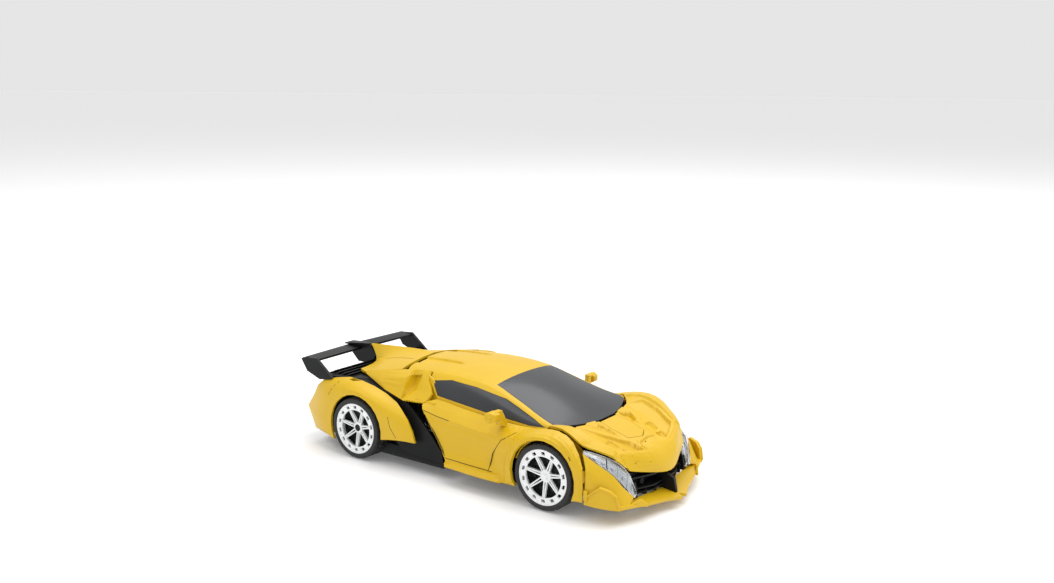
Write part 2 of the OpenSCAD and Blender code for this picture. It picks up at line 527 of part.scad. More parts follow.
module main_board() color("darkgreen") {
    block([-22, 22], [-16, 16], [32, 33.6]);
    both() for (x = [-18, 17]) block([x, x + 2], [12, 14], [30, 32]);
    block([-8, 4], [-5, 5], [33.6, 35.6]);
    block([10, 14], [-9, -3], [33.6, 38]);
    block([-18, -14], [4, 9], [33.6, 36.4]);
}
module lift_motor() color(SILVER) {
    pin_y(-36, 38, [-15, 9], 8);
    pin_y(-36, 38, [9, 11], 3);
    pin_y(-36, 38, [11, 17], 1);
}

// ---- Nose and head --------------------------------------------------------------------------

// Shallow wedge that is deepest along its outer edge, from points a and b to points c and d
module vent(a, b, c, d) hull() {
    for (p = [a, b]) translate(p) cylinder(r = 0.2, h = 3, $fn = 6);
    for (p = [c, d]) translate([p.x, p.y, p.z - 1.1]) cylinder(r = 0.2, h = 4, $fn = 6);
}
module vents() both() {
    vent([77.6, 11.2, 41.9], [85.4, 10.2, 40.4], [80.4, 17.4, 42], [86.6, 13.6, 40.2]);
    vent([88, 17.4, 38.9], [94.4, 15.8, 36.7], [89.4, 23, 39.2], [95.6, 21.6, 37]);
    vent([95.6, 15.4, 36.1], [101, 13.4, 34.3], [97.4, 20.4, 36], [103.2, 18.4, 34.6]);
}
module hood_panel() color(YELLOW) joined() difference() {
    sheet(HOOD);
    translate([0, 0, 20]) linear_extrude(30) offset(delta = 0.4) polygon(FLAP);
    block([70, 77], [-8.6, 8.6], [30, 50]);
    vents();
}
module head_flap() color("orange") joined() {
    intersection() {
        sheet(HOOD);
        top_prism(FLAP, 20, 50);
    }
    both() block([80, 84], [4, 6], [34, 39]);
}
module bumper_shell() color(YELLOW) both() joined() sheet(CHEEK);
module splitter() color(YELLOW) {
    both() joined() {
        sheet(SPLITTER, 1.8);
        sheet(CANARD, 1.6);
        hull() {
            translate([112.6, 34.6, 11.4]) cube([1, 2, 0.6]);
            translate([117.4, 28, 9.8]) cube([1, 1, 1]);
            translate([115.6, 31.2, 13.6]) cube([0.8, 1, 0.8]);
        }
    }
}
module grille() color(BLACK) {
    hull() {
        block([104.4, 106], [-30, 30], [12, 16]);
        block([104.4, 106], [-27, 27], [16, 24.4]);
    }
    for (z = [12.4, 14.8, 21]) hull() {
        block([105.6, 106.4], [-27.6, 27.6], [z, z + 0.9]);
        block([112, 112.8], [-12, 12], [z, z + 0.9]);
    }
    both() for (y = [8 : 8 : 24]) hull() {
        block([105.6, 106.4], [y - 0.6, y + 0.6], [10.6, 15.2]);
        block([112.6 - y / 6, 113.2 - y / 6], [y - 0.6, y + 0.6], [10.8, 15.2]);
    }
    both() pin_x(17, 18.4, [105.6, 108.6], 2.2);
    hull() {
        block([106, 107], [-1.6, 1.6], [10.4, 22]);
        block([117.6, 118.6], [-1.1, 1.1], [9.4, 17]);
        block([119.6, 120.2], [-0.9, 0.9], [8.8, 10]);
    }
}
module headlight_lenses() color("#dfe6ea") both() sheet(LENS, 1);
module headlight_bezels() color(SILVER) both()
    sheet([for (r = LENS) [for (p = r) p - [1.2, 1.4, 1.2]]], 1);
module nose_frame() color(BLACK) difference() {
    union() {
        both() pin_y(neck_x, neck_z, [16, 22], 4.6);
        both() block([neck_x, 97.5], [16, 22], [27, 32.6]);
        both() hull() {
            block([56, 58], [16, 22], [30, 32.6]);
            block([60, 64], [16, 22], [36, 39.4]);
        }
        block([96, 98.6], [-30, 30], [10.4, 31]);
        both() block([98.5, 104.5], [20, 23], [13, 23]);
        both() block([85, 98], [20.4, 24.8], [18.2, 25.8]);
        both() block([94.4, 98], [24, 33], [10.4, 32.9]);
        both() block([98, 106], [30, 33], [13, 15]);
        both() for (z = [[10.4, 14.1], [29.9, 32.9]]) hull() {
            pin_z(arm_x, arm_y, z, 3.8);
            block([94.6, 95.6], [25.4, 32.6], z);
        }
        both() pin_z(arm_x, arm_y, [10.4, 32.9], pin_r);
        both() block([95.4, 98], [32.6, 48.6], [13.2, 15.4]);
    }
    both() pin_y(neck_x, neck_z, [15, 23], bore_r);
    both() pin_y(head_x, head_z, [15, 23], 1.06);
}
module head_block() color(BLACK) difference() {
    union() {
        hull() {
            block([79, 94.2], [-7.2, 7.2], [32.6, 34.6]);
            block([79.6, 91.6], [-8, 8], [28, 31]);
            block([81.6, 89], [-5.6, 5.6], [25.4, 26.4]);
        }
        both() block([80.6, 87.6], [7.9, 9], [28.6, 33]);
        both() block([78, 82], [4.1, 5.9], [31, 38]);
    }
    block([82.4, 89.4], [-4.8, 4.8], [24, 26.4]);
}
module face_plate() color(SILVER) hull() {
    block([82.6, 89.2], [-4.4, 4.4], [25.6, 26.6]);
    block([83.8, 87.4], [-2.6, 2.6], [24.8, 25.6]);
}
// ---- Arms and hands -------------------------------------------------------------------------

module arm_bars_left() color(BLACK) for (z = [bar_low, bar_high]) difference() {
    union() {
        pin_z(arm_x, arm_y, z, 3.8);
        pin_z(hand_x, arm_y, z, 3.8);
        block([hand_x, arm_x], [arm_y - 1.8, arm_y + 1.8], z);
    }
    pin_z(arm_x, arm_y, [z[0] - 1, z[1] + 1], bore_r);
    pin_z(hand_x, arm_y, [z[0] - 1, z[1] + 1], bore_r);
}
module arm_bars_right() mirror([0, 1, 0]) arm_bars_left();
module side_panel_left() color(YELLOW) joined() {
    sheet(finer(DOOR_COLUMNS, 2, 2));
    sheet(FRONT_FENDER);
    hull() {
        block([33, 36], [44, 50.6], [49, 50]);
        block([32, 35], [46, 54], [46.6, 48.2]);
    }
    hull() {
        block([33, 36], [44, 46], [42, 49.6]);
        block([34, 37], [40.6, 43], [41, 42.4]);
    }
    hull() {
        block([-18, -13], [40.2, 42.6], [42.6, 44.6]);
        block([-28, -24], [40.6, 42.4], [43, 45]);
    }
}
module side_panel_right() mirror([0, 1, 0]) side_panel_left();
module shoulder_left() color(YELLOW) sheet(SHOULDER);
module shoulder_right() mirror([0, 1, 0]) shoulder_left();
module hand_bracket_left() color(BLACK) difference() {
    union() {
        pin_z(hand_x, arm_y, [18, 26], 3.8);
        pin_z(hand_x, arm_y, [bar_low[0], bar_high[1]], pin_r);
        block([hand_x - 4.5, hand_x + 3.8], [arm_y, 47.8], [18.2, 25.8]);
        block([hand_x, axle_x], [28, 32.4], [18.2, 24]);
        pin_y(axle_x, axle_z, [28, 32.8], 2.9);
        block([-4, hand_x], [42, 44.6], [20, 24]);
        block([-4, 2], [42, 46.6], [20, 24]);
    }
    pin_y(axle_x, axle_z, [27, 34], axle_bore_r);
}
module hand_bracket_right() mirror([0, 1, 0]) hand_bracket_left();

// ---- Wheels ---------------------------------------------------------------------------------

module tyre(x, y0) color("#1a1a1a") translate([x, 0, axle_z]) rotate([-90, 0, 0]) rotate_extrude()
    polygon([[rim_r - 1.4, y0 + 0.6], [wheel_r - 1.6, y0], [wheel_r, y0 + 1.8],
        [wheel_r, wheel_face_y - 2.2], [wheel_r - 1.8, wheel_face_y - 0.2], [rim_r - 0.8, wheel_face_y],
        [rim_r - 1.4, wheel_face_y - 0.6]]);
// Rim with six pairs of spokes, its barrel and the stub of its axle
module rim(x, y0, stub) color("white") translate([x, 0, axle_z]) rotate([-90, 0, 0]) {
    rotate_extrude() polygon([[12.6, y0 + 1.4], [rim_r - 1.4, y0 + 1.4], [rim_r - 1.4, wheel_face_y - 0.6],
        [rim_r - 2.2, wheel_face_y - 0.1], [12.6, wheel_face_y - 1]]);
    translate([0, 0, wheel_face_y - 6.4]) cylinder(r = 3.4, h = 4.4);
    for (a = [0 : 60 : 300]) for (s = [-1, 1]) rotate([0, 0, a]) rotate([90, 0, 0])
        linear_extrude(1.2) translate([0, 0]) polygon([[2.6, wheel_face_y - 5.6], [13, wheel_face_y - 3.4],
            [13, wheel_face_y - 1.6], [2.6, wheel_face_y - 3.6]]);
    translate([0, 0, stub]) cylinder(r = axle_r, h = wheel_face_y - 6 - stub);
    translate([0, 0, y0 + 1.6]) cylinder(r = 13, h = 1.6);
}
module tyre_front_left() tyre(axle_x, 33.4);
module tyre_front_right() mirror([0, 1, 0]) tyre(axle_x, 33.4);
module tyre_rear_left() tyre(-axle_x, 35.4);
module tyre_rear_right() mirror([0, 1, 0]) tyre(-axle_x, 35.4);
module rim_front_left() rim(axle_x, 33.4, 28.2);
module rim_front_right() mirror([0, 1, 0]) rim(axle_x, 33.4, 28.2);
module rims_rear() {
    both() rim(-axle_x, 35.4, 1);
    color(SILVER) pin_y(-axle_x, axle_z, [-1.1, 1.1], axle_r);
}
module caster_fork() color("white") difference() {
    union() {
        pin_z(caster_x, 0, [9, 10.7], 6.8);
        pin_z(caster_x, 0, [10.7, 13.6], pin_r);
        both() block([75.6, 81], [2.9, 4.1], [4.4, 9.1]);
    }
    pin_y(caster_x - 2, caster_z, [-5, 5], 0.86);
}
module caster_wheel() color("white") {
    pin_y(caster_x - 2, caster_z, [-2.6, 2.6], caster_r);
    pin_y(caster_x - 2, caster_z, [-4.1, 4.1], 0.8);
}
placed() chassis_pan();
placed() foot_box();
placed() foot_rods();
placed() foot_knobs();
placed() shoes();
placed() drive_motors();
placed() gearboxes();
placed() battery_box();
placed() battery_door();
placed() battery_pack();
placed() pan_screws();
placed() engine_deck();
placed() rear_deck();
placed() rear_fenders();
placed() sills();
placed() rear_bumper();
placed() tail_lights();
placed() rear_wing();
placed() knee_pins();
placed() switch_knob();
placed() legs_frame();
placed() thigh_plates();
placed() thigh_inlays();
placed() torso_frame();
placed() cabin_shell();
placed() windshield();
placed() side_windows();
placed() spine_plate();
placed() rib_plates();
placed() belt_pads();
placed() main_board();
placed() lift_motor();
placed() torso_pins();
placed() hood_panel();
placed() bumper_shell();
placed() splitter();
placed() grille();
placed() headlight_lenses();
placed() headlight_bezels();
placed() nose_frame();
placed() head_flap();
placed() head_block();
placed() face_plate();
placed() arm_bars_left();
placed() arm_bars_right();
placed() side_panel_left();
placed() side_panel_right();
placed() shoulder_left();
placed() shoulder_right();
placed() hand_bracket_left();
placed() hand_bracket_right();
placed() tyre_front_left();
placed() tyre_front_right();
placed() tyre_rear_left();
placed() tyre_rear_right();
placed() rim_front_left();
placed() rim_front_right();
placed() rims_rear();
placed() caster_fork();
placed() caster_wheel();
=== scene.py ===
import json
import math

import bmesh
import bpy
from mathutils import Matrix, Vector
from mathutils.bvhtree import BVHTree


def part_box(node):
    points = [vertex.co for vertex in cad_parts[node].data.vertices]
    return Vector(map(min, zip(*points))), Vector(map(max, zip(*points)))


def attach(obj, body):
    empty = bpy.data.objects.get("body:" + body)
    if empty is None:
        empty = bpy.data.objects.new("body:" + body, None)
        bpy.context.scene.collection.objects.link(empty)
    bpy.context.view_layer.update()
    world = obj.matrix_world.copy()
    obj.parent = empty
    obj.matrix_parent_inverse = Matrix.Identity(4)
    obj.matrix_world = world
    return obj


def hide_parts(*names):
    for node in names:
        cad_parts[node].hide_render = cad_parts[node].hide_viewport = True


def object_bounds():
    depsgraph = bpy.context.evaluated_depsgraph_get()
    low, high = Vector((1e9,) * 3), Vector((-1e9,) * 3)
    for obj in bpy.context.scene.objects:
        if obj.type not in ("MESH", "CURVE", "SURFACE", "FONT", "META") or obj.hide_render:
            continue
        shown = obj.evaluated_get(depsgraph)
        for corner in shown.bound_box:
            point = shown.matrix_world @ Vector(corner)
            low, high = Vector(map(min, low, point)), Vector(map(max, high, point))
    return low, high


MM = 0.001

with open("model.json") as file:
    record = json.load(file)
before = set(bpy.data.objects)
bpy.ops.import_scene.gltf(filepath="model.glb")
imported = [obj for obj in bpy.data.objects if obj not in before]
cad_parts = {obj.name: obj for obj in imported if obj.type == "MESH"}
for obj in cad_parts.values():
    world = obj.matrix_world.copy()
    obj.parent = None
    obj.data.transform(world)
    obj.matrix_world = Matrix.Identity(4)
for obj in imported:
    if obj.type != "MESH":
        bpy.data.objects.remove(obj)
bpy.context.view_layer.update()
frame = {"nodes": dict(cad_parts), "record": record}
NODES = frame["nodes"]
RECORD = frame["record"]
JOINTS = {j["name"]: j for j in RECORD["behaviour"]["joints"]}
OUT = {"left": 1, "right": -1}
DOWN, UPWARD = (0, 0, -1), (0, 0, 1)

# ---- Frame: a datum under the middle of the wheelbase, found from the front axle ----

# Places in this file are datum millimetres: x forward, y to the left and z up
AXLE_X, WHEEL_Y, AXLE_Z = 68, 42, 21
DATUM = Vector(JOINTS["front_left_spin"]["pos_m"]) - Vector((AXLE_X, WHEEL_Y, AXLE_Z)) * MM


def at(x, y, z):
    """A point given in millimetres about the wheelbase datum."""
    return DATUM + Vector((x, y, z)) * MM


# ---- Materials ----


def material(name, dark, light, rough=(0.3, 0.4), metal=0.0, coat=0.0, grain=0.04, scale=40.0, **sockets):
    """A moulded or painted finish: two close shades in slow patches, and a fine grain."""
    mat = bpy.data.materials.new(name)
    mat.use_nodes = True
    tree = mat.node_tree
    nodes, links = tree.nodes, tree.links
    shader = nodes["Principled BSDF"]
    where = nodes.new("ShaderNodeTexCoord")
    patches = nodes.new("ShaderNodeTexNoise")
    patches.inputs["Scale"].default_value = scale
    patches.inputs["Detail"].default_value = 3.0
    links.new(where.outputs["Object"], patches.inputs["Vector"])
    shades = nodes.new("ShaderNodeValToRGB")
    shades.color_ramp.elements[0].position = 0.3
    shades.color_ramp.elements[0].color = (*dark, 1)
    shades.color_ramp.elements[1].position = 0.7
    shades.color_ramp.elements[1].color = (*light, 1)
    links.new(patches.outputs["Fac"], shades.inputs["Fac"])
    links.new(shades.outputs["Color"], shader.inputs["Base Color"])
    fine = nodes.new("ShaderNodeTexNoise")
    fine.inputs["Scale"].default_value = 1400.0
    fine.inputs["Detail"].default_value = 2.0
    links.new(where.outputs["Object"], fine.inputs["Vector"])
    gloss = nodes.new("ShaderNodeMapRange")
    gloss.inputs["To Min"].default_value = rough[0]
    gloss.inputs["To Max"].default_value = rough[1]
    links.new(patches.outputs["Fac"], gloss.inputs["Value"])
    links.new(gloss.outputs["Result"], shader.inputs["Roughness"])
    bump = nodes.new("ShaderNodeBump")
    bump.inputs["Strength"].default_value = grain
    bump.inputs["Distance"].default_value = 0.0004
    links.new(fine.outputs["Fac"], bump.inputs["Height"])
    links.new(bump.outputs["Normal"], shader.inputs["Normal"])
    shader.inputs["Metallic"].default_value = metal
    shader.inputs["Coat Weight"].default_value = coat
    shader.inputs["Coat Roughness"].default_value = 0.12
    for socket, value in sockets.items():
        shader.inputs[socket.replace("_", " ")].default_value = value
    return mat


LOOKS = {
    "yellow_paint": material(
        "yellow paint", (0.62, 0.385, 0.004), (0.655, 0.412, 0.006), (0.36, 0.46), coat=0.05,
        Specular_IOR_Level=0.35,
    ),
    "orange_plastic": material(
        "orange plastic", (0.61, 0.373, 0.004), (0.645, 0.4, 0.006), (0.36, 0.46), coat=0.05,
        Specular_IOR_Level=0.35,
    ),
    "black_plastic": material(
        "black plastic", (0.0075, 0.0078, 0.0085), (0.011, 0.0114, 0.0122), (0.3, 0.42), grain=0.08,
        Specular_IOR_Level=0.15,
    ),
    "silver_paint": material("silver paint", (0.6, 0.61, 0.63), (0.7, 0.71, 0.73), (0.28, 0.38), metal=0.85),
    "gold_paint": material("gold paint", (0.52, 0.37, 0.13), (0.62, 0.45, 0.17), (0.3, 0.4), metal=0.85),
    "smoked_glass": material(
        "smoked glass", (0.03, 0.032, 0.036), (0.037, 0.039, 0.043), (0.2, 0.26), coat=0.1, grain=0.01,
        Specular_IOR_Level=0.3,
    ),
    "tyre": material("rubber", (0.012, 0.012, 0.0125), (0.019, 0.019, 0.02), (0.6, 0.75), grain=0.3),
    "white_plastic": material("white plastic", (0.78, 0.79, 0.8), (0.85, 0.855, 0.86), (0.3, 0.38)),
    "clear_lens": material(
        "clear lens", (0.9, 0.93, 0.95), (0.95, 0.97, 0.98), (0.03, 0.06), grain=0.0, Transmission_Weight=1.0,
        IOR=1.3,
    ),
    "red_lens": material("red lens", (0.35, 0.01, 0.01), (0.45, 0.02, 0.02), (0.12, 0.2), coat=0.5, grain=0.01),
    "metal": material("steel", (0.42, 0.42, 0.44), (0.56, 0.56, 0.58), (0.25, 0.36), metal=1.0, scale=120.0),
    "battery_wrap": material("battery wrap", (0.02, 0.09, 0.32), (0.03, 0.12, 0.4), (0.25, 0.35)),
    "circuit_board": material("solder mask", (0.01, 0.13, 0.05), (0.02, 0.18, 0.07), (0.3, 0.42), scale=300.0),
}

# ---- Shared mesh code ----


def bevelled(obj, width, limit=32):
    """Rounds the sharp edges and evens out the shading, without touching the mesh."""
    for face in obj.data.polygons:
        face.use_smooth = True
    weld = obj.modifiers.new("weld", "WELD")
    weld.merge_threshold = 1e-5
    bevel = obj.modifiers.new("bevel", "BEVEL")
    bevel.width = width * MM
    bevel.segments = 2
    bevel.limit_method = "ANGLE"
    bevel.angle_limit = math.radians(limit)
    bevel.harden_normals = False
    normal = obj.modifiers.new("normals", "WEIGHTED_NORMAL")
    normal.keep_sharp = True


def piece(name, bm, slot, body, bevel=0.2, limit=32):
    """Turns mesh code into a piece of the toy that rides on a CAD body."""
    bmesh.ops.remove_doubles(bm, verts=bm.verts, dist=1e-6)
    bmesh.ops.recalc_face_normals(bm, faces=bm.faces)
    name = name.replace(" ", "_")
    mesh = bpy.data.meshes.new(name)
    bm.to_mesh(mesh)
    bm.free()
    obj = bpy.data.objects.new(name, mesh)
    bpy.context.scene.collection.objects.link(obj)
    mesh.materials.append(LOOKS[slot])
    if bevel:
        bevelled(obj, bevel, limit=limit)
    else:
        for face in mesh.polygons:
            face.use_smooth = True
    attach(obj, body)
    return obj


def add_box(bm, x, y, z):
    """A box between pairs of datum millimetres."""
    low, high = at(x[0], y[0], z[0]), at(x[1], y[1], z[1])
    made = bmesh.ops.create_cube(bm, size=1.0)
    for vert in made["verts"]:
        for k in range(3):
            vert.co[k] = (low[k] + high[k]) / 2 + vert.co[k] * (high[k] - low[k])


def add_tube(bm, centre, axis, radius, length, sides=24, top=None):
    """A capped cylinder or cone about a centre, along an axis."""
    turn = Vector(axis).to_track_quat("Z", "Y").to_matrix().to_4x4()
    bmesh.ops.create_cone(
        bm,
        cap_ends=True,
        segments=sides,
        radius1=radius * MM,
        radius2=(radius if top is None else top) * MM,
        depth=length * MM,
        matrix=Matrix.Translation(centre) @ turn,
    )


def skin(bm, loops):
    """Walls between rings of vertices, and a cap on the first ring and on the last."""
    for low, high in zip(loops, loops[1:]):
        for k in range(len(low)):
            j = (k + 1) % len(low)
            bm.faces.new((low[k], low[j], high[j], high[k]))
    bm.faces.new(loops[0])
    bm.faces.new(loops[-1])


def add_loft(bm, rings):
    """A closed solid through rings of datum points, each ring with the same number of points."""
    skin(bm, [[bm.verts.new(at(*point)) for point in ring] for ring in rings])


def turned(radius, angle, y=0.0):
    """A point in millimetres at a radius and an angle about the Y axis."""
    return Vector((radius * math.cos(angle), y, radius * math.sin(angle)))


def add_lathe(bm, centre, profile, steps=96, closed=True, shape=None):
    """Turns a profile of (radius, y) in millimetres about the Y axis through a centre."""
    rings = []
    for i in range(steps):
        angle = 2 * math.pi * i / steps
        ring = []
        for k, (radius, y) in enumerate(profile):
            r = radius + (shape(i, k) if shape else 0)
            ring.append(bm.verts.new(centre + turned(r, angle, y) * MM))
        rings.append(ring)
    count = len(profile)
    for i in range(steps):
        a, b = rings[i], rings[(i + 1) % steps]
        for k in range(count if closed else count - 1):
            j = (k + 1) % count
            bm.faces.new((a[k], a[j], b[j], b[k]))


SURFACES = {}


def surface(node):
    """The CAD node's surface in world metres, ready for ray casts."""
    if node not in SURFACES:
        obj = NODES[node]
        mesh = obj.data
        points = [obj.matrix_world @ v.co for v in mesh.vertices]
        SURFACES[node] = BVHTree.FromPolygons(points, [tuple(p.vertices) for p in mesh.polygons])
    return SURFACES[node]


def drop(nodes, point, direction, reach=30):
    """Where a ray towards a point along a direction first meets any of the nodes."""
    way = Vector(direction).normalized()
    best = None
    for node in nodes:
        hit, normal, _, far = surface(node).ray_cast(point - way * reach * MM, way, 2.5 * reach * MM)
        if hit is not None and (best is None or far < best[2]):
            best = (hit, normal if normal.dot(way) < 0 else -normal, far)
    return best


STRIP_ROOT = 0.3  # how deep a strip is set into the panel under it


def add_strip(bm, nodes, path, direction, width, lift, step=1.2):
    """A thin raised band that follows the panels' surface under a path of datum points."""
    points = []
    for a, b in zip(path, path[1:]):
        a, b = at(*a), at(*b)
        count = max(1, round((b - a).length / (step * MM)))
        points += [a.lerp(b, i / count) for i in range(count)]
    points.append(at(*path[-1]))
    hits = [drop(nodes, p, direction) for p in points]
    hits = [h for h in hits if h is not None]
    rows = []
    for i, (hit, normal, _) in enumerate(hits):
        along = (hits[min(i + 1, len(hits) - 1)][0] - hits[max(i - 1, 0)][0]).normalized()
        side = along.cross(normal).normalized() * width * MM / 2
        up = normal * lift * MM
        down = normal * -STRIP_ROOT * MM
        rows.append([bm.verts.new(hit + s) for s in (side + down, side + up, -side + up, -side + down)])
    if len(rows) > 1:
        skin(bm, rows)


SEAM_LIFT = 0.03


def seams(name, nodes, paths, direction, body, width, slot="black_plastic"):
    """One piece of thin dark lines on the panels, all as good as flush with them."""
    bm = bmesh.new()
    for path in paths:
        add_strip(bm, nodes, path, direction, width, SEAM_LIFT)
    piece(name, bm, slot, body, bevel=0)


def inside(p, outline):
    """How far a 2-D point is inside an outline: positive inside, negative outside."""
    least, within = 1e9, False
    for (ax, ay), (bx, by) in zip(outline, outline[1:] + outline[:1]):
        dx, dy = bx - ax, by - ay
        t = max(0.0, min(1.0, ((p[0] - ax) * dx + (p[1] - ay) * dy) / (dx * dx + dy * dy)))
        least = min(least, math.hypot(p[0] - ax - t * dx, p[1] - ay - t * dy))
        if (ay > p[1]) != (by > p[1]) and p[0] < ax + (p[1] - ay) / (by - ay) * dx:
            within = not within
    return least if within else -least


def sculpt(node, slot, body, areas, plane, way, fine=1.1, top=None):
    """The CAD panel with a finer mesh, pressed in or raised over some outlined areas.

    plane picks the two datum coordinates that the outlines are drawn in, and way is the
    direction of a positive height. Each area is (outline, height, ramp) in millimetres, and
    its height is one number or ((x, height), (x, height)) for a floor that slopes along the car.
    top is (x, z): ahead of x, nothing is left above z.
    """
    source = NODES[node]
    bm = bmesh.new()
    bm.from_mesh(source.data)
    bm.transform(source.matrix_world)
    bmesh.ops.remove_doubles(bm, verts=bm.verts, dist=2e-5)
    bmesh.ops.dissolve_degenerate(bm, dist=1e-5, edges=bm.edges)
    for _ in range(5):
        long = [e for e in bm.edges if e.calc_length() > fine * MM]
        if not long:
            break
        bmesh.ops.subdivide_edges(bm, edges=long, cuts=1)
        bmesh.ops.triangulate(bm, faces=[f for f in bm.faces if len(f.verts) > 3])
    way = Vector(way)
    for vert in bm.verts:
        local = (vert.co - DATUM) / MM
        flat = (local[plane[0]], abs(local[plane[1]]) if plane[1] == 1 else local[plane[1]])
        move = 0.0
        for outline, height, ramp in areas:
            depth = inside(flat, outline)
            if depth > 0:
                part = min(1.0, depth / ramp)
                if isinstance(height, tuple):
                    (x1, h1), (x2, h2) = height
                    along = min(1.0, max(0.0, (local.x - x1) / (x2 - x1)))
                    height = h1 + (h2 - h1) * along
                move += height * part * part * (3 - 2 * part)
        if move:
            vert.co += way * move * MM
        if top and local.x > top[0] and local.z > top[1]:
            vert.co.z = DATUM.z + top[1] * MM
    obj = piece(node + " panel", bm, slot, body, bevel=0.3, limit=40)
    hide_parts(node)


# ---- Wheels: a tread, a deep white rim with slots round its edge, and pairs of spokes ----

BEAD = 14.9  # radius where the tyre meets the rim, in millimetres
FLANGE = 1.2  # thickness of the slotted ring
RING_IN, SLOT_IN, SLOT_OUT = 11.3, 12.2, 13.9
RIM_STEPS, SLOT_PITCH = 140, 10
SLOT_LEAN = 0.03  # how far the outer edge of the ring is turned on, in radians
SPOKE_PAIRS = 7


def add_tyre(bm, centre, side, radius, outer, inner):
    """A tyre with three grooves round it and blocks between them."""
    width = outer - inner
    profile = [
        (BEAD, outer - 1.2), (BEAD + 0.5, outer - 0.3), (BEAD + 1.1, outer), (radius - 1.4, outer),
        (radius - 0.5, outer - 0.5), (radius, outer - 1.8),
    ]
    for groove in (0.26, 0.48, 0.7):
        for across, depth in ((0, 0), (0.01, 0.6), (0.05, 0.6), (0.06, 0)):
            profile.append((radius - depth, outer - width * (groove + across)))
    profile += [(radius, inner + 1.8), (radius - 0.5, inner + 0.5), (radius - 1.4, inner), (BEAD, inner)]
    tread = range(5, 19)

    def blocks(i, k):
        return -0.45 if k in tread and (i + (k // 4) * 2) % 4 == 0 else 0.0

    add_lathe(bm, centre, [(r, y * side) for r, y in profile], 120, shape=blocks)


def in_slot(i):
    return 3 <= i % SLOT_PITCH <= 6


def add_flange(bm, centre, side, face):
    """The flat ring at the edge of the rim, with slots through it."""
    grid = {}
    for i in range(RIM_STEPS):
        for k, r in enumerate((RING_IN, SLOT_IN, SLOT_OUT, BEAD + 0.3)):
            angle = 2 * math.pi * i / RIM_STEPS + (SLOT_LEAN if k == 2 else 0.0)
            for level, y in enumerate((face, face - FLANGE)):
                grid[i, k, level] = bm.verts.new(centre + turned(r, angle, y * side) * MM)
    for i in range(RIM_STEPS):
        j = (i + 1) % RIM_STEPS
        for k in range(3):
            if k == 1 and in_slot(i):
                for edge in (1, 2):
                    bm.faces.new((grid[i, edge, 0], grid[j, edge, 0], grid[j, edge, 1], grid[i, edge, 1]))
                for end, beside in ((i, (i - 1) % RIM_STEPS), (j, j)):
                    if not in_slot(beside):
                        bm.faces.new((grid[end, 1, 0], grid[end, 2, 0], grid[end, 2, 1], grid[end, 1, 1]))
                continue
            for level in (0, 1):
                corners = ((i, k), (i, k + 1), (j, k + 1), (j, k))
                bm.faces.new([grid[step, edge, level] for step, edge in corners])
        for k in (0, 3):
            bm.faces.new((grid[i, k, 0], grid[j, k, 0], grid[j, k, 1], grid[i, k, 1]))


def add_spokes(bm, centre, side, face):
    """Pairs of spokes that stand apart at the hub and close in towards the edge."""
    for n in range(SPOKE_PAIRS):
        base = 2 * math.pi * (n + 0.25) / SPOKE_PAIRS
        for twin in (-1, 1):
            start, end = turned(2.8, base + twin * 0.3), turned(11.8, base + twin * 0.035)
            across = (end - start).normalized().cross(Vector((0, 1, 0)))
            corners = []
            for spot, half, top_y in ((start, 0.34, face - 2.2), (end, 0.42, face - 0.5)):
                for depth in (0, 1.6):
                    for s in (-1, 1):
                        point = spot + across * half * s + Vector((0, (top_y - depth) * side, 0))
                        corners.append(bm.verts.new(centre + point * MM))
            a, b, c, d, e, f, g, h = corners
            for quad in ((a, b, f, e), (c, d, h, g), (a, e, g, c), (b, d, h, f), (a, c, d, b), (e, f, h, g)):
                bm.faces.new(quad)


